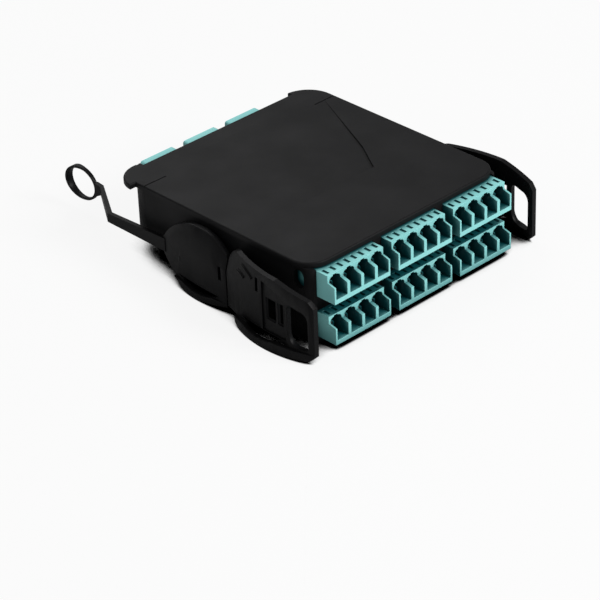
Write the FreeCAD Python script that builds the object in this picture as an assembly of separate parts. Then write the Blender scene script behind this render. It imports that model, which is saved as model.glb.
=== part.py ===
import FreeCAD, Part
import math
import os

os.makedirs("parts", exist_ok=True)

# Fibre cassette: a flat moulded box with six quad LC adapters in front, three MPO
# adapters behind and sprung release levers on both sides.
# Millimetres. +X is to the right seen from the front, +Y to the rear, +Z up.
# The origin is on the underside, half way across and half way along the box.

# ---- box -------------------------------------------------------------------
body_width = 87.8
body_depth = 92.8
overall_height = 29.2
wall = 1.8
floor_front = 2.2
floor_rear = 1.8
rear_rise = 8.2
ramp_start = 7.5
ramp_length = 9.0
base_corner_rear = 10.5
base_corner_front = 4.0
guide_radius = 7.0

# ---- cover -----------------------------------------------------------------
cover_thickness = 1.9
cover_overhang = 1.0
cover_corner_front = 8.5
cover_corner_rear = 11.0
cover_edge_round = 0.6
cover_cutback = 2.2
cover_cutback_width = 70.0
cover_rim_height = 1.6
cover_rim_width = 1.2
rim_gap = 0.3
cover_headroom = 0.5
recess_depth = 0.8
recess_front_width = 33.0
recess_front_from_rear = 61.0
recess_length = 52.0
recess_rear_width = 84.0
recess_flare = 7.8
recess_flare_length = 13.0
ear_out = 2.4
ear_length = 9.4
ear_reach = 11.0
ear_fullness = 2.0
corner_line_from_rear = 14.0
corner_line_width = 0.5
corner_line_depth = 0.3

# ---- LC adapters -----------------------------------------------------------
lc_ports = 4
lc_port_pitch = 6.25
lc_width = 25.2
lc_height = 9.5
lc_length = 27.4
lc_pitch = 29.0
lc_columns = 3
lc_stick_out = 7.7
lc_lip_height = 6.1
lc_setback = 3.1
lc_shoulder_height = 6.9
lc_port_width = 4.9
lc_port_depth = 10.6
lc_port_bottom = 1.7
lc_port_side_top = 7.2
lc_port_top = 8.5
lc_port_top_width = 2.6
lc_notch_width = 1.6
lc_notch_top = 9.0
lc_axis_height = 4.1
lc_barrel_diameter = 3.0
lc_barrel_length = 5.0
lc_slot_width = 1.1
lc_slot_length = 2.8
lc_slot_depth = 0.6
lc_slot_from_front = 4.3
lc_flange = 0.8
lc_flange_thickness = 1.6
lc_flange_from_front = 10.4
seat_gap = 0.15
press_gap = 0.1
side_window_radius = 2.4
side_window_from_front = 6.3
side_window_bottom = 1.8
side_window_top_wall = 0.9
post_overlap = 1.8

# ---- plugs inside the box --------------------------------------------------
plug_width = 4.5
plug_height = 4.6
plug_length = 13.0
plug_seated = 10.0
plug_latch_width = 2.0
plug_latch_height = 1.5
plug_latch_length = 7.0
boot_length = 9.0
boot_front = 3.4
boot_rear = 1.8

# ---- MPO adapters ----------------------------------------------------------
mpo_pitch = 19.8
mpo_width = 15.0
mpo_height = 8.8
mpo_length = 26.0
mpo_stick_out = 11.0
mpo_bottom = 12.8
mpo_edge_round = 0.9
mpo_collar_width = 19.3
mpo_collar_height = 10.6
mpo_collar_thickness = 2.6
mpo_collar_chamfer = 2.2
mpo_port_width = 12.6
mpo_port_height = 7.0
mpo_key_width = 3.2
mpo_key_height = 0.7
mpo_web = 2.0
mpo_web_bore_width = 7.4
mpo_web_bore_height = 3.2
mpo_finger_width = 1.2
mpo_finger_height = 3.6
mpo_finger_length = 7.0
mpo_finger_inset = 1.2
mpo_plug_width = 12.0
mpo_plug_height = 6.4
mpo_plug_length = 18.0
mpo_ferrule_width = 6.4
mpo_ferrule_height = 2.5
mpo_boot_length = 11.0
mpo_boot_width = 7.0
mpo_boot_height = 3.6

# ---- fibre legs ------------------------------------------------------------
leg_width = 2.2
leg_thickness = 0.5
leg_spacing = 3.0
fanout_width = 20.0
fanout_height = 3.0
fanout_length = 5.0
fanout_gap = 0.5

# ---- screws ----------------------------------------------------------------
screw_diameter = 2.2
screw_head = 4.0
screw_head_height = 1.4
screw_bite = 7.0
screw_boss = 5.2
screw_from_side = 6.0
screw_y = 0.0

# ---- side levers and latches ----------------------------------------------
lever_thickness = 1.9
lever_top_gap = 1.2
lever_ground_gap = 0.2
lever_out_front = 8.6
lever_out_mid = 9.3
lever_out_seam = 6.2
lever_lean = 2.8
lever_crease = 16.8
seam_from_front = 33.8
seam_gap = 0.6
handle_past_face = 1.4
handle_bar = 2.5
handle_top_bar = 3.6
handle_bottom_bar = 3.0
handle_drop = 4.0
handle_opening = 8.4
handle_slope_length = 16.0
handle_front_round = 2.0
handle_hole_round_small = 1.5
handle_hole_round_large = 4.6
handle_hole_round_top = 3.2
bow_bulge = 2.1
bow_height = 2.4
bow_gap = 2.6
bow_front_from_handle = 13.0
bow_end_height = 3.8
bow_land = 3.4
bow_step_from_seam = 5.6
bow_step = 2.4
bow_low_from_seam = 15.4
bow_flat_from_seam = 24.3
grip_depth = 0.7
grip_front_from_seam = 31.4
grip_rear_from_seam = 20.6
grip_bottom = 5.4
grip_top = 23.4
grip_slope = 3.4
grip_slot_bottom = 9.6
grip_slot_top = 17.7
grip_slots = [(29.8, 27.4), (26.5, 21.8)]
window_width = 1.3
window_height = 5.0
front_window_from_seam = 18.0
front_window_bottom = 18.3
rear_window_from_seam = 3.0
rear_window_bottom = 12.0
pin_diameter = 1.6
pin_fit = 0.05
pin_seat = 0.01
knuckle_diameter = 3.6
knuckle_height = 7.2
knuckle_from_seam = 5.2
pin_from_wall = 2.3
lug_thickness = 2.6
lug_gap = 0.25
lug_bottom = 4.4

# ---- rear latches ----------------------------------------------------------
latch_length = 34.0
latch_out_seam = 6.1
latch_out_mid = 6.0
latch_out_rear = 3.4
tongue_thickness = 1.4
tongue_height = 5.6
tongue_length = 20.0
tongue_bottom = 8.6
tongue_from_seam = 4.0
rail_gap = 0.3
rail_wall = 1.2
rail_hook = 1.3
rail_length = 11.0
latch_pull = 3.0
latch_peak = 0.5
latch_low_point = 0.4
latch_rise_point = 0.33
latch_rise = 1.6
latch_middle = 0.4
latch_middle_lean = 0.8
latch_end_lean = 0.2
tail_bottom = 10.2
tail_height_front = 5.0
tail_height_rear = 3.4
tail_thickness = 1.6
tail_out = 2.4
tail_past_rear = 3.3
jog_length = 15.9
jog_in = 10.4
ring_length = 15.8
ring_height = 12.8
ring_band = 0.9
ring_width = 3.2
ring_front_width = 1.2
neck_length = 3.1
neck_height = 5.4
ring_axis_height = 11.2

# ---- derived reference planes ---------------------------------------------
front = -body_depth / 2
rear = body_depth / 2
side = body_width / 2
cover_under = overall_height - cover_thickness
face = front - lc_stick_out
lc_top_z = cover_under - cover_headroom
row_bottoms = {"lower": floor_front, "upper": lc_top_z - lc_height}
columns = {"left": -1, "centre": 0, "right": 1}
seam = front + seam_from_front
lever_top = cover_under - lever_top_gap
handle_front = face - handle_past_face
pin_x = -(side + pin_from_wall)
pin_y = seam - knuckle_from_seam
knuckle_bottom = lug_bottom + lug_thickness + lug_gap
lug_top = knuckle_bottom + knuckle_height + lug_gap
latch_start = seam + seam_gap
latch_end = latch_start + latch_length
tail_end = rear + tail_past_rear
diagonal = 1 - math.sqrt(0.5)


def vec(x, y, z):
    return FreeCAD.Vector(x, y, z)


def block(x0, x1, y0, y1, z0, z1):
    """Box between two values on each axis."""
    return Part.makeBox(x1 - x0, y1 - y0, z1 - z0, vec(x0, y0, z0))


def loop(start, steps, place):
    """Closed wire in a plane: each step is an end point, or (middle, end) of an arc."""
    edges = []
    at = start
    for step in steps + [start]:
        is_arc = isinstance(step[0], tuple)
        end = step[1] if is_arc else step
        if is_arc:
            edges.append(Part.Arc(place(*at), place(*step[0]), place(*end)).toShape())
        elif end != at:
            edges.append(Part.makeLine(place(*at), place(*end)))
        at = end
    return Part.Wire(edges)


def prism_x(start, steps, x0, x1):
    """Outline in Y and Z, drawn out along X."""
    wire = loop(start, steps, lambda y, z: vec(x0, y, z))
    return Part.Face(wire).extrude(vec(x1 - x0, 0, 0))


def prism_y(start, steps, y0, y1):
    """Outline in X and Z, drawn out along Y."""
    wire = loop(start, steps, lambda x, z: vec(x, y0, z))
    return Part.Face(wire).extrude(vec(0, y1 - y0, 0))


def prism_z(start, steps, z0, z1):
    """Outline in X and Y, drawn out along Z."""
    wire = loop(start, steps, lambda x, y: vec(x, y, z0))
    return Part.Face(wire).extrude(vec(0, 0, z1 - z0))


def rod(radius, start, length, axis):
    return Part.makeCylinder(radius, length, start, axis)


def join(shapes):
    """One solid out of touching or overlapping ones."""
    return shapes[0].multiFuse(shapes[1:]).removeSplitter()


def mirrored(shape):
    return shape.mirror(vec(0, 0, 0), vec(1, 0, 0))


def slab(half_width, y0, y1, z0, z1, corner_front, corner_rear):
    """Plate with two corner radii, one for its front and one for its rear corners."""
    plate = block(-half_width, half_width, y0, y1, z0, z1)
    for y, radius in ((y0, corner_front), (y1, corner_rear)):
        upright = [e for e in plate.Edges
                   if len(e.Vertexes) == 2
                   and all(abs(v.Y - y) < 1e-6 for v in e.Vertexes)
                   and abs(e.Vertexes[0].Z - e.Vertexes[1].Z) > (z1 - z0) / 2]
        plate = plate.makeFillet(radius, upright)
    return plate


# ---- base ------------------------------------------------------------------
def underside(offset, thickness):
    """Space below the stepped floor, pushed up by the floor's thickness."""
    low = -overall_height
    start = (front - overall_height, low)
    steps = [(rear + overall_height, low),
             (rear + overall_height, rear_rise + offset),
             (ramp_start + ramp_length - thickness, rear_rise + offset),
             (ramp_start - thickness, thickness),
             (front - overall_height, thickness)]
    return prism_x(start, steps, -body_width, body_width)


def base_box():
    """Open-topped moulded box with a floor that steps up behind the adapters."""
    outer = slab(side, front, rear - cover_cutback, 0, cover_under,
                 base_corner_front, base_corner_rear)
    outer = outer.cut(underside(0, 0))
    inner = slab(side - wall, front + wall, rear - cover_cutback - wall, 0,
                 overall_height, wall / 2, base_corner_rear - wall)
    inner = inner.cut(underside(floor_rear, floor_front))
    return outer.cut(inner)


def post_centres():
    """Posts stand half way between neighbouring adapters."""
    return [(i - lc_columns / 2) * lc_pitch for i in range(1, lc_columns)]


def adapter_bay():
    """The front wall is open between its posts, with grooves for the flanges."""
    half = lc_pitch * (lc_columns - 1) / 2 + lc_width / 2 + seat_gap
    gap = block(-half, half, front - wall, front + wall * 2, floor_front, overall_height)
    groove_half = half + lc_flange
    groove_front = face + lc_flange_from_front - seat_gap
    groove_rear = groove_front + lc_flange_thickness + seat_gap * 2
    groove = block(-groove_half, groove_half, groove_front, groove_rear,
                   floor_front, overall_height)
    return gap.fuse(groove)


def posts():
    """Posts between the adapters, each with a groove down both sides."""
    made = []
    half = (lc_pitch - lc_width) / 2 - seat_gap
    groove_front = face + lc_flange_from_front - seat_gap
    groove_rear = groove_front + lc_flange_thickness + seat_gap * 2
    for x in post_centres():
        post = block(x - half, x + half, front, groove_rear + wall, 0, cover_under)
        for way in (-1, 1):
            edge = x + way * half
            inner = x + way * (half - lc_flange)
            post = post.cut(block(min(edge, inner), max(edge, inner), groove_front,
                                  groove_rear, floor_front, overall_height))
        made.append(post)
    return made


def mpo_centre(way):
    return way * mpo_pitch


def mpo_middle():
    return mpo_bottom + mpo_height / 2


def rear_wall_openings():
    """Slots that the MPO adapters drop into, open at the top."""
    cuts = []
    wall_rear = rear - cover_cutback
    for way in columns.values():
        x = mpo_centre(way)
        half = mpo_width / 2 + seat_gap
        cuts.append(block(x - half, x + half, wall_rear - wall * 2, wall_rear + wall,
                          mpo_bottom, overall_height))
    return cuts


def cradle():
    """Raised ledge that the MPO adapters rest on."""
    wall_rear = rear - cover_cutback
    half = mpo_pitch + mpo_width / 2
    return block(-half, half, wall_rear - wall * 3, wall_rear - wall,
                 rear_rise, mpo_bottom)


def screw_places():
    """One screw at each side, in the deep floor behind the adapters."""
    x = side - screw_from_side
    return [(-x, screw_y, 0), (x, screw_y, 0)]


def screw_seats():
    """Counterbored holes through the floor for the cover screws."""
    cuts = []
    for x, y, z in screw_places():
        cuts.append(rod(screw_head / 2 + seat_gap, vec(x, y, z - wall),
                        wall + screw_head_height, vec(0, 0, 1)))
        cuts.append(rod(screw_diameter / 2 + seat_gap, vec(x, y, z),
                        overall_height, vec(0, 0, 1)))
    return cuts


def screw_pads():
    """Round pads that carry the counterbores above the floor."""
    return [rod(screw_boss / 2, vec(x, y, z), floor_front + screw_head_height,
                vec(0, 0, 1))
            for x, y, z in screw_places()]


def fibre_guides():
    """Quarter-round ribs beside the MPO plugs that keep slack fibre off a tight bend."""
    made = []
    radius = guide_radius
    for way in (-1, 1):
        centre = vec(way * (side - wall - radius), ramp_start + ramp_length + radius,
                     rear_rise)
        ring = rod(radius, centre, mpo_height + floor_rear, vec(0, 0, 1))
        ring = ring.cut(rod(radius - wall / 2, centre, overall_height, vec(0, 0, 1)))
        keep = block(min(centre.x, centre.x + way * radius),
                     max(centre.x, centre.x + way * radius),
                     centre.y - radius, centre.y + radius / 2, 0, overall_height)
        made.append(ring.common(keep))
    return made


def side_window():
    """Oval opening near the front through which the adapter clips are reached."""
    r = side_window_radius
    y = front + side_window_from_front
    low = row_bottoms["upper"] + side_window_bottom
    high = lc_top_z - side_window_top_wall
    start = (y - r, low + r)
    steps = [((y, low), (y + r, low + r)),
             (y + r, high - r),
             ((y, high), (y - r, high - r))]
    return prism_x(start, steps, -body_width, body_width)


def lugs():
    """Two lugs on each side wall that hold the lever's pivot pin."""
    made = []
    radius = knuckle_diameter / 2
    for bottom in (lug_bottom, lug_top):
        round_end = rod(radius, vec(pin_x, pin_y, bottom), lug_thickness, vec(0, 0, 1))
        root = block(pin_x, -side + wall / 2, pin_y - radius, pin_y + radius,
                     bottom, bottom + lug_thickness)
        lug = round_end.fuse(root)
        lug = lug.cut(rod(pin_diameter / 2 + pin_seat, vec(pin_x, pin_y, 0), overall_height,
                          vec(0, 0, 1)))
        made += [lug, mirrored(lug)]
    return made


def rails():
    """Hooked rails on each side wall that the rear latch's tongue slides in."""
    made = []
    y0 = latch_start + tongue_from_seam + tongue_length / 4
    y1 = y0 + rail_length
    reach = side + rail_gap * 2 + tongue_thickness + rail_wall
    inner = side + rail_gap * 2 + tongue_thickness
    for way in (-1, 1):
        edge = tongue_bottom if way < 0 else tongue_bottom + tongue_height
        near = edge + way * rail_gap
        far = near + way * rail_wall
        hook = near - way * rail_hook
        arm = block(-reach, -side + wall / 2, y0, y1, min(near, far), max(near, far))
        lip = block(-reach, -inner, y0, y1, min(hook, near), max(hook, near))
        rail = arm.fuse(lip)
        made += [rail, mirrored(rail)]
    return made


def keying_foot():
    """Small rib under the left rear corner that keys the box in its tray."""
    x = -side + base_corner_rear + wall / 2
    y1 = rear - cover_cutback - wall
    return block(x - wall / 2, x + wall / 2, y1 - wall * 2, y1,
                 rear_rise - wall * 1.5, rear_rise + floor_rear)


def base_tray():
    solid = base_box().cut(adapter_bay())
    solid = join([solid] + posts() + [cradle()] + screw_pads() + fibre_guides()
                 + lugs() + rails() + [keying_foot()])
    for cut in rear_wall_openings() + screw_seats() + [side_window()]:
        solid = solid.cut(cut)
    return solid


# ---- cover -----------------------------------------------------------------
def recess():
    """Shallow ramp in the cover: deepest at its short front edge, out at the rear."""
    y0 = rear - recess_front_from_rear
    y1 = y0 + recess_length
    top = overall_height
    wedge = prism_x((y0, top - recess_depth), [(y1, top), (y1, top + wall), (y0, top + wall)],
                    -body_width, body_width)
    a = recess_front_width / 2
    b = recess_rear_width / 2
    outline = prism_z((-a, y0), [(a, y0), (a + recess_flare, y0 + recess_flare_length),
                                 (b, y1), (-b, y1),
                                 (-a - recess_flare, y0 + recess_flare_length)],
                      top - wall, top + wall)
    return wedge.common(outline)


def corner_lines():
    """Fine grooves across the two rear corners of the cover."""
    y = rear - corner_line_from_rear
    half = cover_cutback_width / 2
    top = overall_height
    return [block(x, x + body_width, y, y + corner_line_width,
                  top - corner_line_depth, top + wall)
            for x in (half, -half - body_width)]


def cover_ribs():
    """Ribs under the cover that press on the adapters."""
    y = face + lc_flange_from_front + lc_flange_thickness + wall + seat_gap * 3
    half = lc_pitch * (lc_columns - 1) / 2 + lc_width / 2
    return block(-half, half, y, y + wall, lc_top_z, cover_under + cover_thickness / 2)


def cover_rim():
    """Locating rim that drops inside the walls behind the adapter bay."""
    outer_half = side - wall - rim_gap
    y0 = face + lc_length + rim_gap
    y1 = rear - cover_cutback - wall - rim_gap
    bottom = cover_under - cover_rim_height
    corner = base_corner_rear - wall - rim_gap
    outer = slab(outer_half, y0, y1, bottom, cover_under + cover_thickness / 2,
                 cover_rim_width, corner)
    inner = slab(outer_half - cover_rim_width, y0 + cover_rim_width, y1 - cover_rim_width,
                 0, overall_height, cover_rim_width / 2, corner - cover_rim_width)
    inner = inner.cut(block(-body_width, body_width, front, rear,
                            cover_under, overall_height + wall))
    return outer.cut(inner)


def cover_tabs():
    """Tabs that close the rear wall above the MPO adapters and hold them down."""
    y = rear - cover_cutback
    half = mpo_width / 2
    low = mpo_bottom + mpo_height + press_gap
    return [block(mpo_centre(way) - half, mpo_centre(way) + half, y - wall, y,
                  low, cover_under + cover_thickness / 2)
            for way in columns.values()]


def cover_bosses():
    """Posts under the cover that take the screws."""
    made = []
    for x, y, z in screw_places():
        bottom = z + floor_front + screw_head_height
        post = rod(screw_boss / 2, vec(x, y, bottom), cover_under - bottom + wall / 2,
                   vec(0, 0, 1))
        made.append(post)
    return made


def boss_bores():
    """Blind holes that the screws cut their thread in."""
    return [rod(screw_diameter / 2, vec(x, y, z), screw_end(z) - z, vec(0, 0, 1))
            for x, y, z in screw_places()]


def screw_end(z):
    return z + floor_front + screw_head_height + screw_bite


def round_top(plate):
    """Small radius along the top edge."""
    edges = [e for e in plate.Edges
             if all(abs(v.Z - overall_height) < 1e-6 for v in e.Vertexes)]
    return plate.makeFillet(cover_edge_round, edges)


def ear():
    """Corner of the cover that stands out past the left side, with a square front end."""
    x = -(side + cover_overhang)
    y0 = rear - ear_length
    middle = (x - ear_out + ear_fullness, rear - ear_length / 2 + ear_fullness / 2)
    outline = prism_z((x - ear_out, y0), [(middle, (x + ear_reach - ear_out, rear)),
                                          (x + ear_reach - ear_out, y0)],
                      cover_under, overall_height)
    return outline


def top_cover():
    half = side + cover_overhang
    plate = slab(half, front, rear, cover_under, overall_height,
                 cover_corner_front, cover_corner_rear)
    plate = round_top(plate).fuse(round_top(ear()))
    cut = block(-cover_cutback_width / 2, cover_cutback_width / 2, rear - cover_cutback,
                rear + wall, 0, overall_height + wall)
    plate = plate.cut(cut)
    plate = plate.cut(recess())
    for line in corner_lines():
        plate = plate.cut(line)
    solid = join([plate, cover_ribs(), cover_rim()] + cover_tabs() + cover_bosses())
    for bore in boss_bores():
        solid = solid.cut(bore)
    return solid


# ---- LC adapters and what sits in them -------------------------------------
def port_centres():
    return [(i - (lc_ports - 1) / 2) * lc_port_pitch for i in range(lc_ports)]


def keyhole(x, y0, y1):
    """Socket outline: a square mouth, rounded shoulders and a latch notch above."""
    half = lc_port_width / 2
    top = lc_port_top_width / 2
    notch = lc_notch_width / 2
    shoulder_x = (half * 2 + top) / 3
    shoulder_z = (lc_port_side_top + lc_port_top * 2) / 3
    steps = [(x + half, lc_port_bottom),
             (x + half, lc_port_side_top),
             ((x + shoulder_x, shoulder_z), (x + top, lc_port_top)),
             (x + notch, lc_port_top),
             (x + notch, lc_notch_top),
             (x - notch, lc_notch_top),
             (x - notch, lc_port_top),
             (x - top, lc_port_top),
             ((x - shoulder_x, shoulder_z), (x - half, lc_port_side_top))]
    return prism_y((x - half, lc_port_bottom), steps, y0, y1)


def barrel(x, y0, y1):
    """Eight-sided barrel round the ferrule sleeve at the back of a socket."""
    r = lc_barrel_diameter / 2
    c = r * (math.sqrt(2) - 1)
    z = lc_axis_height
    steps = [(x + c, z - r), (x + r, z - c), (x + r, z + c), (x + c, z + r),
             (x - c, z + r), (x - r, z + c), (x - r, z - c)]
    return prism_y((x - c, z - r), steps, y0, y1)


def lc_adapter():
    """Quad adapter, front face at Y 0 and underside at Z 0."""
    half = lc_width / 2
    body = prism_x((0, 0), [(0, lc_lip_height), (lc_setback, lc_shoulder_height),
                            (lc_setback, lc_height), (lc_length, lc_height),
                            (lc_length, 0)], -half, half)
    flange = block(-half - lc_flange, half + lc_flange, lc_flange_from_front,
                   lc_flange_from_front + lc_flange_thickness, 0, lc_height)
    body = body.fuse(flange)
    for x in port_centres():
        body = body.cut(keyhole(x, -wall, lc_port_depth))
        body = body.cut(block(x - lc_port_width / 2, x + lc_port_width / 2,
                              lc_length - lc_port_depth, lc_length + wall,
                              lc_port_bottom, lc_notch_top))
    pitch = lc_width / (lc_ports * 2)
    for i in range(lc_ports * 2):
        x = -half + pitch * (i + 0.5)
        body = body.cut(block(x - lc_slot_width / 2, x + lc_slot_width / 2,
                              lc_slot_from_front, lc_slot_from_front + lc_slot_length,
                              lc_height - lc_slot_depth, lc_height + wall))
    barrels = [barrel(x, lc_port_depth - lc_barrel_length, lc_port_depth + wall)
               for x in port_centres()]
    return join([body] + barrels)


def taper(x, z, y0, y1, size0, size1):
    """Square boot that narrows along Y."""
    wires = []
    for y, size in ((y0, size0), (y1, size1)):
        half = size / 2
        wires.append(Part.makePolygon([vec(x - half, y, z - half), vec(x + half, y, z - half),
                                       vec(x + half, y, z + half), vec(x - half, y, z + half),
                                       vec(x - half, y, z - half)]))
    return Part.makeLoft(wires, True, True)


def lc_plugs():
    """Four plugs in the adapter's inner sockets, each with its latch and boot."""
    made = []
    tip = lc_length - plug_seated
    end = tip + plug_length
    bottom = lc_axis_height - plug_height / 2
    top = bottom + plug_height
    for x in port_centres():
        shell = block(x - plug_width / 2, x + plug_width / 2, tip, end, bottom, top)
        latch = block(x - plug_latch_width / 2, x + plug_latch_width / 2,
                      end - plug_latch_length, end, top, top + plug_latch_height)
        boot = taper(x, lc_axis_height, end, end + boot_length, boot_front, boot_rear)
        made.append(join([shell, latch, boot]))
    return Part.makeCompound(made)


# ---- MPO adapters and what sits in them ------------------------------------
def mpo_adapter():
    """Adapter about its own axis: outer mouth at Y 0, body toward -Y."""
    half = mpo_width / 2
    tall = mpo_height / 2
    body = block(-half, half, -mpo_length, 0, -tall, tall)
    body = body.makeFillet(mpo_edge_round, [e for e in body.Edges
                                            if abs(e.Vertexes[0].Y - e.Vertexes[1].Y) > wall])
    c_half = mpo_collar_width / 2
    c_tall = mpo_collar_height / 2
    y1 = -mpo_stick_out + mpo_collar_thickness
    collar = prism_y((-c_half, -c_tall), [(c_half, -c_tall), (c_half, c_tall - mpo_collar_chamfer),
                                          (c_half - mpo_collar_chamfer, c_tall),
                                          (-c_half + mpo_collar_chamfer, c_tall),
                                          (-c_half, c_tall - mpo_collar_chamfer)],
                     -mpo_stick_out, y1)
    body = body.fuse(collar)
    p_half = mpo_port_width / 2
    p_tall = mpo_port_height / 2
    middle = -mpo_length / 2
    for y0, y1 in ((middle + mpo_web / 2, wall), (-mpo_length - wall, middle - mpo_web / 2)):
        body = body.cut(block(-p_half, p_half, y0, y1, -p_tall, p_tall))
        body = body.cut(block(-mpo_key_width / 2, mpo_key_width / 2, y0, y1,
                              p_tall, p_tall + mpo_key_height))
    body = body.cut(block(-mpo_web_bore_width / 2, mpo_web_bore_width / 2, middle - mpo_web,
                          middle + mpo_web, -mpo_web_bore_height / 2, mpo_web_bore_height / 2))
    fingers = []
    for way in (-1, 1):
        x0 = way * (p_half - mpo_finger_width)
        x1 = way * (p_half + seat_gap)
        fingers.append(block(min(x0, x1), max(x0, x1), -mpo_finger_inset - mpo_finger_length,
                             -mpo_finger_inset, -mpo_finger_height / 2, mpo_finger_height / 2))
    return join([body] + fingers)


def mpo_plug():
    """Plug in the adapter's inner mouth: housing, flat ferrule and boot."""
    half = mpo_plug_width / 2
    tall = mpo_plug_height / 2
    tip = -mpo_length / 2 - mpo_web / 2 - seat_gap
    housing = block(-half, half, tip - mpo_plug_length, tip, -tall, tall)
    ferrule = block(-mpo_ferrule_width / 2, mpo_ferrule_width / 2, tip - wall, tip + mpo_web / 2,
                    -mpo_ferrule_height / 2, mpo_ferrule_height / 2)
    back = tip - mpo_plug_length
    boot = block(-mpo_boot_width / 2, mpo_boot_width / 2, back - mpo_boot_length, back,
                 -mpo_boot_height / 2, mpo_boot_height / 2)
    return join([housing, ferrule, boot])


# ---- fibre harness ---------------------------------------------------------
def leg(start, end):
    """Flat fibre ribbon that leaves and arrives along Y on a smooth curve."""
    run = (end.y - start.y) / 2
    curve = Part.BezierCurve()
    curve.setPoles([start, start + vec(0, run, 0), end - vec(0, run, 0), end])
    path = Part.Wire([curve.toShape()])
    w = leg_width / 2
    t = leg_thickness / 2
    ring = Part.makePolygon([start + vec(x, 0, z)
                             for x, z in ((-w, -t), (w, -t), (w, t), (-w, t), (-w, -t))])
    return path.makePipeShell([ring], True, False)


def fibre_harness(way):
    """Two ribbons of four fibres each from one MPO plug to the plugs of one column."""
    made = []
    boot_end = face + lc_length - plug_seated + plug_length + boot_length
    mpo_back = (rear - cover_cutback + mpo_stick_out - mpo_length / 2 - mpo_web / 2
                - seat_gap - mpo_plug_length - mpo_boot_length)
    x_mpo = mpo_centre(way)
    z_mpo = mpo_middle()
    x_lc = way * lc_pitch
    for row, z in row_bottoms.items():
        shift = leg_spacing / 2 if row == "upper" else -leg_spacing / 2
        y_fan = boot_end + fanout_gap + fanout_length
        z_fan = z + lc_axis_height
        fan = block(x_lc - fanout_width / 2, x_lc + fanout_width / 2, y_fan - fanout_length,
                    y_fan, z_fan - fanout_height / 2, z_fan + fanout_height / 2)
        run = leg(vec(x_lc, y_fan, z_fan), vec(x_mpo + shift, mpo_back, z_mpo))
        made.append(join([fan, run]))
    return Part.makeCompound(made)


# ---- screws and pins -------------------------------------------------------
def cover_screws():
    made = []
    for x, y, z in screw_places():
        head = rod(screw_head / 2, vec(x, y, z), screw_head_height, vec(0, 0, 1))
        shank = rod(screw_diameter / 2, vec(x, y, z), screw_end(z) - z - seat_gap,
                    vec(0, 0, 1))
        made.append(join([head, shank]))
    return Part.makeCompound(made)


def pivot_pin():
    bottom = lug_bottom
    length = lug_top + lug_thickness - bottom
    return rod(pin_diameter / 2, vec(pin_x, pin_y, bottom), length, vec(0, 0, 1))


# ---- levers ----------------------------------------------------------------
def band(outer, thickness, z):
    """Wire of a strip seen from above: an arc through three points and its inner copy."""
    a, b, c = outer
    inner = [(x + thickness, y) for x, y in outer]
    edges = [Part.Arc(vec(*a, z), vec(*b, z), vec(*c, z)).toShape(),
             Part.makeLine(vec(*c, z), vec(*inner[2], z)),
             Part.Arc(vec(*inner[2], z), vec(*inner[1], z), vec(*inner[0], z)).toShape(),
             Part.makeLine(vec(*inner[0], z), vec(*a, z))]
    return Part.Wire(edges)


def leaning_plate(low_arc, high_arc, thickness):
    """Curved plate, upright up to its crease and leaning to the box above it."""
    low = Part.Face(band(low_arc, thickness, 0))
    upright = low.extrude(vec(0, 0, lever_crease))
    wires = [band(low_arc, thickness, lever_crease),
             band(high_arc, thickness, lever_top)]
    return upright.fuse(Part.makeLoft(wires, True, True))


def lever_arc(lean):
    """Outer face of the front lever from above, from the handle to the seam."""
    return [(-(side + lever_out_front), handle_front),
            (-(side + lever_out_mid - lean / 4), (handle_front + seam) / 2.6),
            (-(side + lever_out_seam - lean), seam)]


def lever_outline(x0, x1):
    """Side view of the front lever: handle, sloping arm, lobe and curved underside."""
    low = lever_ground_gap
    slope_end = handle_front + handle_slope_length
    r = handle_front_round
    base = low + handle_bottom_bar / 3
    start = (handle_front + r, base)
    steps = [(handle_front, base + r),
             (handle_front, lever_top - handle_drop - r / 2),
             (handle_front + r, lever_top - handle_drop + r / 2),
             (slope_end, lever_top),
             (seam - wall * 4, lever_top),
             ((seam - wall, lever_top - wall), (seam, lever_top - wall * 3)),
             (seam, bow_end_height),
             (seam - bow_step_from_seam, bow_end_height),
             (seam - bow_step_from_seam - seam_gap, bow_end_height - bow_step),
             ((seam - bow_low_from_seam, low), (seam - bow_flat_from_seam, low))]
    return prism_x(start, steps, x0, x1)


def handle_hole(x0, x1):
    """D-shaped finger opening."""
    y0 = handle_front + handle_bar
    y1 = y0 + handle_opening
    z0 = lever_ground_gap + handle_bottom_bar + handle_bar / 2
    z1 = lever_top - handle_drop - handle_top_bar
    small = handle_hole_round_small
    large = handle_hole_round_large
    top = handle_hole_round_top
    k = diagonal
    start = (y0, z0 + small)
    steps = [(y0, z1 - top),
             ((y0 + top * k, z1 - top * k), (y0 + top, z1)),
             (y1 - small, z1 + small / 2),
             ((y1 - small * k, z1), (y1, z1 - small)),
             (y1, z0 + large),
             ((y1 - large * k, z0 + large * k), (y1 - large, z0)),
             (y0 + small, z0),
             ((y0 + small * k, z0 + small * k), (y0, z0 + small))]
    return prism_x(start, steps, x0, x1)


def bow_slot(y0, y1, bottom, x0, x1):
    """Crescent gap between a lever's plate and the sprung bow under it."""
    middle = (y0 + y1) / 2
    return prism_x((y0, bottom + bow_gap), [((middle, bottom), (y1, bottom + bow_gap))],
                   x0, x1)


def bow(arc, bulge, outline):
    """Sprung strip along the lower edge that stands out past the plate in its middle."""
    start, middle, end = arc
    out = [start, (middle[0] - bulge, middle[1]), end]
    strip = Part.Face(band(out, lever_thickness, 0)).extrude(vec(0, 0, bow_end_height))
    return strip.common(outline)


def above_bow(outline, x0, x1):
    """The outline without the strip's height, for the plate that stands on the strip."""
    return outline.cut(block(x0 - wall, x1 + wall, front - body_depth, rear,
                             -wall, bow_end_height))


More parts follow.
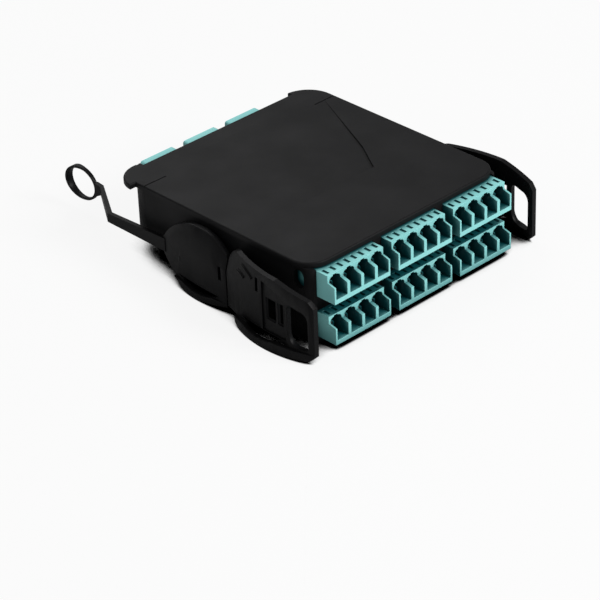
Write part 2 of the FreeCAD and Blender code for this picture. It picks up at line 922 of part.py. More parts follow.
def grip_outline(x0, x1):
    """Sunk panel behind the handle, with a sloping top edge."""
    y0 = seam - grip_front_from_seam
    y1 = seam - grip_rear_from_seam
    start = (y0, grip_bottom)
    steps = [(y0, grip_top - grip_slope),
             (((y0 + y1) / 2, grip_top - grip_slope / 3), (y1, grip_top)),
             (y1, grip_bottom)]
    return prism_x(start, steps, x0, x1)


def sunk_grip(plate, x0, x1):
    """Sinks the grip panel into the plate's outer face and cuts its two upright slots."""
    inner = leaning_plate([(x + grip_depth, y) for x, y in lever_arc(0)],
                          [(x + grip_depth, y) for x, y in lever_arc(lever_lean)],
                          lever_thickness - grip_depth)
    panel = grip_outline(x0, x1)
    made = plate.cut(panel).fuse(inner.common(panel))
    for near, far in grip_slots:
        made = made.cut(block(x0, x1, seam - near, seam - far, grip_slot_bottom,
                              grip_slot_top))
    return made


def lever_window(y, z, x0, x1):
    """Narrow upright window in a plate."""
    return block(x0, x1, y - window_width / 2, y + window_width / 2, z, z + window_height)


def knuckle():
    """Barrel on the lever's inner side that turns on the pivot pin."""
    radius = knuckle_diameter / 2
    barrel = rod(radius, vec(pin_x, pin_y, knuckle_bottom), knuckle_height, vec(0, 0, 1))
    reach = side + lever_out_seam
    web = block(-reach, pin_x, pin_y - radius / 2, pin_y + radius / 2,
                knuckle_bottom, knuckle_bottom + knuckle_height)
    return barrel.fuse(web)


def pin_bore():
    return rod(pin_diameter / 2 + pin_fit, vec(pin_x, pin_y, 0), overall_height, vec(0, 0, 1))


def front_lever():
    """Left lever: D handle, curved arm, lobe and bow in one moulding."""
    x0 = -(side + lever_out_mid + bow_bulge + wall)
    x1 = -side
    outline = lever_outline(x0, x1)
    plate = leaning_plate(lever_arc(0), lever_arc(lever_lean), lever_thickness)
    plate = sunk_grip(plate.common(above_bow(outline, x0, x1)), x0, x1)
    plate = plate.fuse(bow(lever_arc(0), bow_bulge, outline))
    y0 = handle_front + bow_front_from_handle
    y1 = seam - bow_step_from_seam - bow_land
    low = lever_ground_gap + bow_height
    for cut in (handle_hole(x0, x1), bow_slot(y0, y1, low, x0, x1),
                lever_window(seam - front_window_from_seam, front_window_bottom, x0, x1)):
        plate = plate.cut(cut)
    return join([plate, knuckle()]).cut(pin_bore())


# ---- rear latches ----------------------------------------------------------
def latch_arc(lean):
    return [(-(side + latch_out_seam - lean), latch_start),
            (-(side + latch_out_mid - lean * latch_middle_lean),
             latch_start + latch_length * latch_middle),
            (-(side + latch_out_rear - lean * latch_end_lean), latch_end)]


def latch_outline(x0, x1):
    """Side view of the rear latch: a rounded lobe that narrows to the tail."""
    low = lever_ground_gap
    tail_top = tail_bottom + tail_height_front
    start = (latch_start, low + bow_height)
    steps = [(latch_start, lever_top - wall * 3),
             ((latch_start + latch_length * latch_peak, lever_top),
              (latch_end - wall, tail_top + wall)),
             (latch_end, tail_top),
             (latch_end, tail_bottom),
             ((latch_end - latch_length * latch_rise_point, low + latch_rise),
              (latch_start + latch_length * latch_low_point, low))]
    return prism_x(start, steps, x0, x1)


def tongue():
    """Straight tongue on the latch's inner side that slides in the rails."""
    y0 = latch_start + tongue_from_seam
    inner = -(side + rail_gap)
    bar = block(inner - tongue_thickness, inner, y0, y0 + tongue_length, tongue_bottom,
                tongue_bottom + tongue_height)
    reach = side + latch_out_seam - lever_thickness / 2
    webs = [block(-reach, inner - tongue_thickness / 2, y, y + wall,
                  tongue_bottom + rail_hook + rail_gap * 2,
                  tongue_bottom + tongue_height - rail_hook - rail_gap * 2)
            for y in (y0, y0 + tongue_length - wall)]
    return [bar] + webs


def tail():
    """Flat strip behind the latch, set in behind the box's corner."""
    x_out = -(side + tail_out + tail_thickness)
    y0 = latch_end - wall
    y1 = tail_end
    y2 = y1 + jog_length
    y3 = y2 + neck_length
    t = tail_thickness
    top0 = tail_bottom + tail_height_front
    top1 = tail_bottom + tail_height_rear
    side_view = prism_x((y0, tail_bottom), [(y0, top0), (y1, top1), (y2, top1),
                                            (y3, ring_axis_height + neck_height / 2),
                                            (y3, ring_axis_height - neck_height / 2),
                                            (y2, tail_bottom)], x_out - wall, 0)
    plan = prism_z((x_out, y0), [(x_out, y1), (x_out + jog_in, y2), (x_out + jog_in, y3),
                                 (x_out + jog_in + t, y3), (x_out + jog_in + t, y2),
                                 (x_out + t, y1 - t / 2), (x_out + t, y0)],
                   0, overall_height)
    return side_view.common(plan)


def finger_ring():
    """Oval ring for one finger, wide at its far end and narrow at the neck."""
    x_mid = -(side + tail_out + tail_thickness / 2) + jog_in
    y0 = tail_end + jog_length + neck_length - ring_band / 2
    y_mid = y0 + ring_length / 2
    rings = []
    for inset in (0, ring_band):
        oval = Part.Ellipse(vec(0, 0, 0), ring_length / 2 - inset, ring_height / 2 - inset)
        face_ = Part.Face(Part.Wire([oval.toShape()])).extrude(vec(0, 0, ring_width))
        face_.rotate(vec(0, 0, 0), vec(1, 0, 0), 90)
        face_.rotate(vec(0, 0, 0), vec(0, 0, 1), 90)
        face_.translate(vec(x_mid - ring_width / 2, y_mid, ring_axis_height))
        rings.append(face_)
    band_ = rings[0].cut(rings[1])
    f = ring_front_width / 2
    r = ring_width / 2
    keep = prism_z((x_mid - f, y0 - wall), [(x_mid + f, y0 - wall), (x_mid + f, y_mid - wall),
                                            (x_mid + r, y0 + ring_length + wall),
                                            (x_mid - r, y0 + ring_length + wall),
                                            (x_mid - f, y_mid - wall)],
                   0, overall_height)
    return band_.common(keep)


def rear_latch(with_tail):
    """Left latch: leaning lobe, bow and tongue, with or without its pull tail."""
    x0 = -(side + lever_out_mid + bow_bulge + wall)
    x1 = -side
    outline = latch_outline(x0, x1)
    plate = leaning_plate(latch_arc(0), latch_arc(lever_lean), lever_thickness)
    plate = plate.common(above_bow(outline, x0, x1))
    plate = plate.fuse(bow(latch_arc(0), bow_bulge / 2, outline))
    y0 = latch_start + wall * 2
    y1 = latch_end - wall * 5
    for cut in (bow_slot(y0, y1, lever_ground_gap + bow_height, x0, x1),
                lever_window(latch_start + rear_window_from_seam, rear_window_bottom,
                             x0, x1)):
        plate = plate.cut(cut)
    pieces = [plate] + tongue()
    if with_tail:
        pieces += [tail(), finger_ring()]
    return join(pieces)


# ---- adapter shelf ---------------------------------------------------------
def adapter_shelf():
    """Shelf between the two rows of adapters, notched round the posts."""
    half = lc_pitch * (lc_columns - 1) / 2 + lc_width / 2
    z0 = row_bottoms["lower"] + lc_height
    z1 = row_bottoms["upper"]
    y0 = front + wall * 0.4
    y1 = face + lc_length - wall
    shelf = block(-half, half, y0, y1, z0, z1)
    notch_half = (lc_pitch - lc_width) / 2
    notch_rear = face + lc_flange_from_front + lc_flange_thickness + seat_gap * 2 + wall
    for x in post_centres():
        shelf = shelf.cut(block(x - notch_half, x + notch_half, y0 - wall, notch_rear, 0,
                                overall_height))
    for way in columns.values():
        x = way * lc_pitch
        pocket = lc_width / 2 - wall
        shelf = shelf.cut(block(x - pocket, x + pocket, y0 + wall, y1 - wall, z0 - wall,
                                z1 - wall))
    return shelf


# ---- assembly --------------------------------------------------------------
def export(name, shape):
    shape.exportStep("parts/" + name + ".step")


export("base_tray", base_tray())
export("top_cover", top_cover())
export("adapter_shelf", adapter_shelf())
export("cover_screws", cover_screws())

for row, z in row_bottoms.items():
    for column, way in columns.items():
        place = vec(way * lc_pitch, face, z)
        for name, make in (("lc_adapter", lc_adapter), ("inner_lc_plugs", lc_plugs)):
            export(name + "_" + row + "_" + column, make().translated(place))

for column, way in columns.items():
    place = vec(mpo_centre(way), rear - cover_cutback + mpo_stick_out, mpo_middle())
    export("mpo_adapter_" + column, mpo_adapter().translated(place))
    export("inner_mpo_plug_" + column, mpo_plug().translated(place))
    export("fibre_harness_" + column, fibre_harness(way))

export("left_front_lever", front_lever())
export("right_front_lever", mirrored(front_lever()))
export("left_pivot_pin", pivot_pin())
export("right_pivot_pin", mirrored(pivot_pin()))
export("left_rear_latch", rear_latch(True))
export("right_rear_latch", mirrored(rear_latch(False)))
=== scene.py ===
import math

import bmesh
import bpy
from mathutils import Matrix, Vector
from mathutils.bvhtree import BVHTree


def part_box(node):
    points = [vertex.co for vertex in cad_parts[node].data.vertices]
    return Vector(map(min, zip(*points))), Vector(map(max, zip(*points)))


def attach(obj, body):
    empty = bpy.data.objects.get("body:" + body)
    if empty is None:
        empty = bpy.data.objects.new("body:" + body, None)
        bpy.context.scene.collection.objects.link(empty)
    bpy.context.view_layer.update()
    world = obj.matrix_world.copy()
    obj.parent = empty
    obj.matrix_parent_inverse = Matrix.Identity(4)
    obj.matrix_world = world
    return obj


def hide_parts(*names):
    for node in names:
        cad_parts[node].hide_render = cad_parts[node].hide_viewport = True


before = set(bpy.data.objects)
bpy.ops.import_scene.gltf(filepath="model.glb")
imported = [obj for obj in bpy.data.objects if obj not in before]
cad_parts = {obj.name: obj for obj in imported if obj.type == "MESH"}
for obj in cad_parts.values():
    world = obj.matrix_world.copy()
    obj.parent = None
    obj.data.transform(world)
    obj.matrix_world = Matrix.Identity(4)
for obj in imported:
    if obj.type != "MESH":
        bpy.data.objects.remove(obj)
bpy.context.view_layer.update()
scene = bpy.context.scene
MM = 0.001

# ---- Tray and cover --------------------------------------------------------
# The box is injection moulded in black PC-ABS. Its mould is spark eroded, which leaves
# a fine even grain, and every outer edge keeps the small radius of the mould. The cover
# drops on with a rim inside the walls, so only its flat top and thin edge show.


def linear(hex_colour):
    """sRGB hex to the linear colour that shaders take."""
    parts = [int(hex_colour[i:i + 2], 16) / 255 for i in (1, 3, 5)]
    return tuple(c / 12.92 if c < 0.04045 else ((c + 0.055) / 1.055) ** 2.4
                 for c in parts) + (1.0,)


def add(tree, kind, inputs=None, **settings):
    """Adds one node: settings are its properties, inputs are values or sockets to link."""
    node = tree.nodes.new(kind)
    for key, value in settings.items():
        setattr(node, key, value)
    for socket, value in (inputs or {}).items():
        if isinstance(value, bpy.types.NodeSocket):
            tree.links.new(value, node.inputs[socket])
        else:
            node.inputs[socket].default_value = value
    return node


def surface(name, **shader_inputs):
    """A material whose Principled shader starts with these constant values."""
    made = bpy.data.materials.new(name)
    made.use_nodes = True
    tree = made.node_tree
    tree.nodes.clear()
    shader = add(tree, "ShaderNodeBsdfPrincipled", shader_inputs)
    add(tree, "ShaderNodeOutputMaterial", {"Surface": shader.outputs[0]})
    return made, tree, shader


def moulded(name, colour, pale, roughness, grain_mm, depth_mm, level, painted_shade=None,
            shade_reach_mm=3.0):
    """Moulded plastic: mould grain, slow flow marks, and painted shade in sockets and gaps.
    """
    made, tree, shader = surface(name, IOR=1.5, **{"Specular IOR Level": level})
    spot = add(tree, "ShaderNodeTexCoord")
    flow = add(tree, "ShaderNodeTexNoise", {"Vector": spot.outputs["Object"],
                                            "Scale": 1 / (18 * MM), "Detail": 3.0})
    grain = add(tree, "ShaderNodeTexNoise", {"Vector": spot.outputs["Object"],
                                             "Scale": 1 / (grain_mm * MM), "Detail": 2.0})
    share = add(tree, "ShaderNodeMapRange", {"Value": flow.outputs["Fac"],
                                             "From Min": 0.35, "From Max": 0.7})
    tone = add(tree, "ShaderNodeMix", {0: share.outputs[0], 6: linear(colour),
                                       7: linear(pale)}, data_type="RGBA")
    colour_out = tone.outputs[2]
    # Painted shade: where an occlusion probe finds little open sky, the colour turns to the
    # given dark shade colour.
    if painted_shade:
        sky = add(tree, "ShaderNodeAmbientOcclusion", {"Distance": shade_reach_mm * MM},
                  samples=8)
        open_part = add(tree, "ShaderNodeMapRange", {"Value": sky.outputs["AO"],
                                                     "From Min": 0.42, "From Max": 0.95})
        tone = add(tree, "ShaderNodeMix", {0: open_part.outputs[0], 6: linear(painted_shade),
                                           7: colour_out}, data_type="RGBA")
        colour_out = tone.outputs[2]
    shine = add(tree, "ShaderNodeMapRange", {"Value": flow.outputs["Fac"], "From Min": 0.3,
                                             "From Max": 0.75, "To Min": roughness + 0.04,
                                             "To Max": roughness - 0.04})
    bump = add(tree, "ShaderNodeBump", {"Height": grain.outputs["Fac"], "Strength": 0.4,
                                        "Distance": depth_mm * MM})
    tree.links.new(colour_out, shader.inputs["Base Color"])
    tree.links.new(shine.outputs[0], shader.inputs["Roughness"])
    tree.links.new(bump.outputs[0], shader.inputs["Normal"])
    return made


def finish_with(node, material):
    """The CAD node keeps its shape and takes this material."""
    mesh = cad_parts[node].data
    mesh.materials.clear()
    mesh.materials.append(material)


def place(name, mesh, material, body):
    """Puts a finished mesh on its body; with None it keeps the materials it has."""
    made = bpy.data.objects.new(name, mesh)
    scene.collection.objects.link(made)
    if material:
        mesh.materials.clear()
        mesh.materials.append(material)
    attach(made, body)
    return made


def grid_mesh(name, rings):
    """Skin over rings of points, one ring after another, with flat caps at both ends."""
    shape = bmesh.new()
    rows = [[shape.verts.new(p) for p in ring] for ring in rings]
    count = len(rows[0])
    for low, high in zip(rows, rows[1:]):
        for i in range(count):
            j = (i + 1) % count
            shape.faces.new((low[i], low[j], high[j], high[i]))
    shape.faces.new(rows[0][::-1])
    shape.faces.new(rows[-1])
    bmesh.ops.recalc_face_normals(shape, faces=shape.faces)
    mesh = bpy.data.meshes.new(name)
    shape.to_mesh(mesh)
    shape.free()
    return mesh


def with_mould_edges(node, radius_mm, material, body, reshape=None, cutters=()):
    """The node's shape with its facets merged and its sharp edges rounded as in the mould."""
    shape = bmesh.new()
    shape.from_mesh(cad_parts[node].data)
    bmesh.ops.remove_doubles(shape, verts=shape.verts, dist=0.002 * MM)
    if reshape:
        reshape(shape)
    bmesh.ops.dissolve_limit(shape, angle_limit=math.radians(0.8), verts=shape.verts,
                             edges=shape.edges)
    mesh = bpy.data.meshes.new(node)
    shape.to_mesh(mesh)
    shape.free()
    holder = bpy.data.objects.new(node, mesh)
    scene.collection.objects.link(holder)
    for cutter in cutters:
        cut = holder.modifiers.new("cut", "BOOLEAN")
        cut.object = cutter
    edge = holder.modifiers.new("mould edge", "BEVEL")
    edge.width = radius_mm * MM
    edge.segments = 2
    edge.limit_method = "ANGLE"
    edge.angle_limit = math.radians(40)
    edge.harden_normals = True
    ready = holder.evaluated_get(bpy.context.evaluated_depsgraph_get())
    rounded = bpy.data.meshes.new_from_object(ready)
    bpy.data.objects.remove(holder)
    made = place(f"{node}_moulding", rounded, material, body)
    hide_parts(node)
    return made


# Grain of a real eroded mould is about 0.1 mm, too fine to see here, so it is drawn at
# 0.45 mm.
box_black = moulded("Black PC-ABS, spark-eroded", "#121213", "#161617", 0.5, 0.45, 0.03,
                    0.09)

# Each side wall has a second finger window for the lower row, behind the lever.
adapter_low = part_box("lc_adapter_lower_left")[0]
tray_low, tray_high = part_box("base_tray")
window_y, window_z = tray_low.y + 6.3 * MM, adapter_low.z + 5.3 * MM
window_radius, window_half = 2.4 * MM, 3.4 * MM
wall_x = -adapter_low.x + 2.4 * MM
cut_inward, cut_outward = 1.2 * MM, 3.0 * MM
outline = []
for i in range(24):
    angle = math.tau * (i + 0.5) / 24
    rise = math.copysign(window_half - window_radius, math.sin(angle))
    outline.append((window_y + window_radius * math.cos(angle),
                    window_z + window_radius * math.sin(angle) + rise))
cutters = []
for way in (-1, 1):
    mesh = grid_mesh("window", [[(way * x, y, z) for y, z in outline]
                                for x in (wall_x - cut_inward, wall_x + cut_outward)])
    cutters.append(bpy.data.objects.new("window", mesh))
    scene.collection.objects.link(cutters[-1])
with_mould_edges("base_tray", 0.3, box_black, "box", cutters=cutters)
for cutter in cutters:
    bpy.data.objects.remove(cutter)
with_mould_edges("top_cover", 0.25, box_black, "box")

# ---- Adapter shelf ---------------------------------------------------------
# A second black moulding lies between the two rows of adapters. It is only seen in the
# gaps between them, and comes from a polished mould, so it is smoother than the box.

shelf_black = moulded("Black PC-ABS, polished mould", "#0b0b0c", "#0e0e0f", 0.42, 0.8,
                      0.01, 0.1)
finish_with("adapter_shelf", shelf_black)

# ---- Cover screws ----------------------------------------------------------
# Two self-tapping screws come up through the floor into the cover's posts. They are
# cold-headed steel with a rolled thread, a six-lobe recess and clear zinc plating.


def tree_with(name, sizes):
    """Geometry Nodes tree with named inputs, its group input and its output node."""
    made = bpy.data.node_groups.new(name, "GeometryNodeTree")
    made.interface.new_socket("Geometry", in_out="OUTPUT", socket_type="NodeSocketGeometry")
    for title, kind in sizes.items():
        made.interface.new_socket(title, in_out="INPUT", socket_type="NodeSocket" + kind)
    return made, made.nodes.new("NodeGroupInput"), made.nodes.new("NodeGroupOutput")


def grow(name, tree, values, source=None):
    """Runs a tree once, with its inputs set by identifier, and keeps the plain mesh."""
    holder = bpy.data.objects.new(name, source or bpy.data.meshes.new(name))
    scene.collection.objects.link(holder)
    modifier = holder.modifiers.new(name, "NODES")
    modifier.node_group = tree
    for item in tree.interface.items_tree:
        if item.in_out == "INPUT" and item.name in values:
            modifier[item.identifier] = values[item.name]
    ready = holder.evaluated_get(bpy.context.evaluated_depsgraph_get())
    mesh = bpy.data.meshes.new_from_object(ready)
    bpy.data.objects.remove(holder)
    return mesh


def centred_row(tree, count, pitch):
    """Points in a row along X, centred, from their count and pitch."""
    less = add(tree, "ShaderNodeMath", {0: count, 1: 1.0}, operation="SUBTRACT")
    span = add(tree, "ShaderNodeMath", {0: less.outputs[0], 1: pitch},
               operation="MULTIPLY")
    half_back = add(tree, "ShaderNodeMath", {0: span.outputs[0], 1: -0.5},
                    operation="MULTIPLY")
    begin = add(tree, "ShaderNodeCombineXYZ", {"X": half_back.outputs[0]})
    step = add(tree, "ShaderNodeCombineXYZ", {"X": pitch})
    row = add(tree, "GeometryNodeMeshLine", {"Count": count,
                                             "Start Location": begin.outputs[0],
                                             "Offset": step.outputs[0]})
    return row.outputs[0]


zinc, tree, shader = surface("Zinc-plated steel", Metallic=1.0, Roughness=0.34)
spot = add(tree, "ShaderNodeTexCoord")
cloud = add(tree, "ShaderNodeTexNoise", {"Vector": spot.outputs["Object"],
                                         "Scale": 1 / (1.2 * MM), "Detail": 4.0})
film = add(tree, "ShaderNodeMix", {0: cloud.outputs["Fac"], 6: linear("#b9bcc0"),
                                   7: linear("#a7abb0")}, data_type="RGBA")
tree.links.new(film.outputs[2], shader.inputs["Base Color"])
scratch = add(tree, "ShaderNodeBump", {"Height": cloud.outputs["Fac"], "Strength": 0.2,
                                       "Distance": 0.01 * MM})
tree.links.new(scratch.outputs[0], shader.inputs["Normal"])

screw_low, screw_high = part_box("cover_screws")
screw_length = screw_high.z - screw_low.z
head_radius, head_height, core_radius = 2.0 * MM, 1.4 * MM, 0.9 * MM
thread_pitch, thread_height, lobe_depth = 0.9 * MM, 0.2 * MM, 0.9 * MM
thread_start = head_height + 0.1 * MM
points_round, thread_steps = 48, 44
rings = []
# Each ring of the recess and head: radius, height over the underside, depth of its lobes.
for radius, z, lobes in ((0.35 * MM, lobe_depth, 0.0), (0.85 * MM, lobe_depth, 0.16),
                         (0.9 * MM, 0.05 * MM, 0.16), (1.0 * MM, 0.0, 0.1),
                         (head_radius - 0.3 * MM, 0.0, 0.0),
                         (head_radius - 0.06 * MM, 0.12 * MM, 0.0),
                         (head_radius, 0.4 * MM, 0.0), (head_radius, head_height, 0.0),
                         (core_radius, head_height, 0.0)):
    points = []
    for i in range(points_round):
        angle = math.tau * i / points_round
        reach = radius * (1 + lobes * math.cos(6 * angle))
        points.append((reach * math.cos(angle), reach * math.sin(angle), z))
    rings.append(points)
for k in range(thread_steps + 1):
    z = thread_start + (screw_length - thread_start) * k / thread_steps
    fade = min(1, (screw_length - z) / thread_pitch)
    points = []
    for i in range(points_round):
        angle = math.tau * i / points_round
        phase = (z / thread_pitch - i / points_round) % 1.0
        crest = max(0, 1 - abs(phase - 0.5) * 4)
        reach = core_radius * (0.6 + 0.4 * fade) + thread_height * crest * fade
        points.append((reach * math.cos(angle), reach * math.sin(angle), z))
    rings.append(points)

screws, given, result = tree_with("screws in their holes", {
    "Screw": "Geometry", "Screws": "Int", "Span": "Float", "Place": "Vector"})
holes = centred_row(screws, given.outputs["Screws"], given.outputs["Span"])
driven = add(screws, "GeometryNodeInstanceOnPoints", {"Points": holes,
                                                      "Instance": given.outputs["Screw"]})
seated = add(screws, "GeometryNodeTransform", {"Geometry": driven.outputs[0],
                                               "Translation": given.outputs["Place"]})
real = add(screws, "GeometryNodeRealizeInstances", {"Geometry": seated.outputs[0]})
dressed = add(screws, "GeometryNodeSetMaterial", {"Geometry": real.outputs[0],
                                                  "Material": zinc})
screws.links.new(dressed.outputs[0], result.inputs[0])
middle = (screw_low + screw_high) / 2
pair = grow("cover_screw_pair", screws, {
    "Screws": 2, "Span": screw_high.x - screw_low.x - 2 * head_radius,
    "Place": Vector((middle.x, middle.y, screw_low.z))}, grid_mesh("screw", rings))
screw_pair = place("cover_screw_pair", pair, zinc, "box")
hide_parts("cover_screws")

# ---- LC adapters -----------------------------------------------------------
# Six quad adapters moulded in aqua PBT, two rows of three. The colour is the one that
# marks 50-micron fibre. Shade is painted into their deep sockets and the gaps between them.

# Painted shade: the dark teal is painted where little open sky reaches, deep in sockets and
# between parts.
aqua = moulded("Aqua PBT, satin moulded", "#84c9c8", "#8ccfcd", 0.42, 0.5, 0.02, 0.2,
               painted_shade="#0a474c", shade_reach_mm=10.0)
rows = ("lower", "upper")
columns = ("left", "centre", "right")
lc_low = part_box("lc_adapter_lower_centre")[0]
column_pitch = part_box("lc_adapter_lower_right")[0].x - lc_low.x
row_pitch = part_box("lc_adapter_upper_centre")[0].z - lc_low.z
axis_height = 4.1 * MM
sockets = {"Column Pitch": column_pitch, "Row Pitch": row_pitch,
           "Port Pitch": 6.25 * MM, "Ports": 4}
socket_sizes = {"Column Pitch": "Float", "Row Pitch": "Float", "Port Pitch": "Float",
                "Ports": "Int"}


def on_socket_axes(depth):
    """Middle of all the sockets' axes, this deep behind the adapters' front."""
    return Vector((0, lc_low.y + depth, lc_low.z + axis_height + row_pitch / 2))


def in_every_socket(tree, given, piece):
    """Copies of an upright piece, laid along the axis of every socket."""
    width = add(tree, "ShaderNodeMath", {0: given.outputs["Column Pitch"], 1: 2.0},
                operation="MULTIPLY")
    sites = add(tree, "GeometryNodeMeshGrid", {"Size X": width.outputs[0],
                                               "Size Y": given.outputs["Row Pitch"],
                                               "Vertices X": 3, "Vertices Y": 2})
    upright = add(tree, "GeometryNodeTransform", {"Geometry": sites.outputs[0],
                                                  "Rotation": (math.pi / 2, 0, 0)})
    ports = centred_row(tree, given.outputs["Ports"], given.outputs["Port Pitch"])
    each = add(tree, "GeometryNodeInstanceOnPoints", {"Points": upright.outputs[0],
                                                      "Instance": ports})
    points = add(tree, "GeometryNodeRealizeInstances", {"Geometry": each.outputs[0]})
    lying = add(tree, "GeometryNodeTransform", {"Geometry": piece,
                                                "Rotation": (math.pi / 2, 0, 0)})
    set_in = add(tree, "GeometryNodeInstanceOnPoints", {"Points": points.outputs[0],
                                                        "Instance": lying.outputs[0]})
    moved = add(tree, "GeometryNodeTransform", {"Geometry": set_in.outputs[0],
                                                "Translation": given.outputs["Place"]})
    return add(tree, "GeometryNodeRealizeInstances", {"Geometry": moved.outputs[0]})


# Every barrel is bored for the sleeve that sits a little back from its end.
bores, given, result = tree_with("bores in the barrels", {
    **socket_sizes, "Radius": "Float", "Depth": "Float", "Place": "Vector"})
bore = add(bores, "GeometryNodeMeshCylinder", {"Vertices": 20,
                                               "Radius": given.outputs["Radius"],
                                               "Depth": given.outputs["Depth"]})
drilled = in_every_socket(bores, given, bore.outputs["Mesh"])
lined = add(bores, "GeometryNodeSetMaterial", {"Geometry": drilled.outputs[0],
                                               "Material": aqua})
bores.links.new(lined.outputs[0], result.inputs[0])
bore_start, bore_end = 5.0 * MM, 10.5 * MM
cutter = bpy.data.objects.new("bores", grow("bores", bores, {
    **sockets, "Radius": 1.07 * MM, "Depth": bore_end - bore_start,
    "Place": on_socket_axes((bore_start + bore_end) / 2)}))
scene.collection.objects.link(cutter)
for row in rows:
    for column in columns:
        with_mould_edges(f"lc_adapter_{row}_{column}", 0.16, aqua, "box",
                         cutters=[cutter])
bpy.data.objects.remove(cutter)

# ---- Ferrule sleeves -------------------------------------------------------
# A split zirconia sleeve sits in the barrel of every socket and lines the two plugs'
# ferrules up. It is white, ground ceramic with a slit along its length.


zirconia, tree, shader = surface("Ground zirconia", Roughness=0.22, IOR=2.1)
spot = add(tree, "ShaderNodeTexCoord")
grind = add(tree, "ShaderNodeTexWave", {"Vector": spot.outputs["Object"],
                                        "Scale": 1 / (0.6 * MM), "Distortion": 2.0},
            bands_direction="Y")
cream = add(tree, "ShaderNodeMix", {0: grind.outputs["Fac"], 6: linear("#efece4"),
                                    7: linear("#f6f4ee")}, data_type="RGBA")
tree.links.new(cream.outputs[2], shader.inputs["Base Color"])
lines = add(tree, "ShaderNodeBump", {"Height": grind.outputs["Fac"], "Strength": 0.15,
                                     "Distance": 0.005 * MM})
tree.links.new(lines.outputs[0], shader.inputs["Normal"])

sleeves, given, result = tree_with("split sleeves", {
    **socket_sizes, "Radius": "Float", "Wall": "Float", "Length": "Float",
    "Slit": "Float", "Place": "Vector"})
round_sweep = add(sleeves, "ShaderNodeMath", {0: math.tau, 1: given.outputs["Slit"]},
                  operation="SUBTRACT")
arc = add(sleeves, "GeometryNodeCurveArc", {"Resolution": 24,
                                            "Radius": given.outputs["Radius"],
                                            "Sweep Angle": round_sweep.outputs[0]})
section = add(sleeves, "GeometryNodeCurvePrimitiveQuadrilateral",
              {"Width": given.outputs["Wall"], "Height": given.outputs["Length"]})
tube = add(sleeves, "GeometryNodeCurveToMesh", {"Curve": arc.outputs[0],
                                                "Profile Curve": section.outputs[0],
                                                "Fill Caps": True})
lined_up = in_every_socket(sleeves, given, tube.outputs[0])
dressed = add(sleeves, "GeometryNodeSetMaterial", {"Geometry": lined_up.outputs[0],
                                                   "Material": zirconia})
sleeves.links.new(dressed.outputs[0], result.inputs[0])
sleeve_mesh = grow("ferrule_sleeves", sleeves, {
    **sockets, "Radius": 0.9 * MM, "Wall": 0.22 * MM, "Length": 4.0 * MM, "Slit": 0.3,
    "Place": on_socket_axes(8.4 * MM)})
place("ferrule_sleeves", sleeve_mesh, zirconia, "box")

# ---- Plugs and fibres inside -----------------------------------------------
# Every inner socket holds a plug with a beige PBT housing and latch. Their fibres leave
# through short boots, run as flat groups of four in an aqua jacket, and meet at the
# three multi-fibre plugs behind.

beige = moulded("Beige PBT, satin moulded", "#c9c2ae", "#d2ccba", 0.42, 0.5, 0.02, 0.35)
for row in rows:
    for column in columns:
        finish_with(f"inner_lc_plugs_{row}_{column}", beige)
for column in columns:
    finish_with(f"inner_mpo_plug_{column}", beige)

jacket, tree, shader = surface("Aqua LSZH jacket", Roughness=0.5, IOR=1.5)
spot = add(tree, "ShaderNodeTexCoord")
drawn = add(tree, "ShaderNodeTexNoise", {"Vector": spot.outputs["Object"],
                                         "Scale": 1 / (2.5 * MM), "Detail": 3.0})
tint = add(tree, "ShaderNodeMix", {0: drawn.outputs["Fac"], 6: linear("#46aeb2"),
                                   7: linear("#5cc0c2")}, data_type="RGBA")
tree.links.new(tint.outputs[2], shader.inputs["Base Color"])

fibres, given, result = tree_with("group of fibres", {
    "Start": "Vector", "End": "Vector", "Bend": "Float", "Spacing": "Float",
    "Diameter": "Float", "Fibres": "Int"})
lead = add(fibres, "ShaderNodeCombineXYZ", {"Y": given.outputs["Bend"]})
leave = add(fibres, "ShaderNodeVectorMath", {0: given.outputs["Start"], 1: lead.outputs[0]})
arrive = add(fibres, "ShaderNodeVectorMath", {0: given.outputs["End"], 1: lead.outputs[0]},
             operation="SUBTRACT")
route = add(fibres, "GeometryNodeCurvePrimitiveBezierSegment", {
    "Resolution": 24, "Start": given.outputs["Start"], "Start Handle": leave.outputs[0],
    "End Handle": arrive.outputs[0], "End": given.outputs["End"]})
lanes = centred_row(fibres, given.outputs["Fibres"], given.outputs["Spacing"])
copies = add(fibres, "GeometryNodeInstanceOnPoints", {"Points": lanes,
                                                      "Instance": route.outputs[0]})
laid = add(fibres, "GeometryNodeRealizeInstances", {"Geometry": copies.outputs[0]})
half = add(fibres, "ShaderNodeMath", {0: given.outputs["Diameter"], 1: 0.5},
           operation="MULTIPLY")
ring_of = add(fibres, "GeometryNodeCurvePrimitiveCircle", {"Resolution": 10,
                                                           "Radius": half.outputs[0]})
skin = add(fibres, "GeometryNodeCurveToMesh", {"Curve": laid.outputs[0],
                                               "Profile Curve": ring_of.outputs[0],
                                               "Fill Caps": True})
smooth = add(fibres, "GeometryNodeSetShadeSmooth", {"Geometry": skin.outputs[0]})
dressed = add(fibres, "GeometryNodeSetMaterial", {"Geometry": smooth.outputs[0],
                                                  "Material": jacket})
fibres.links.new(dressed.outputs[0], result.inputs[0])


def joined(name, meshes):
    """One mesh of several."""
    parts = bmesh.new()
    for mesh in meshes:
        parts.from_mesh(mesh)
    whole = bpy.data.meshes.new(name)
    parts.to_mesh(whole)
    parts.free()
    return whole


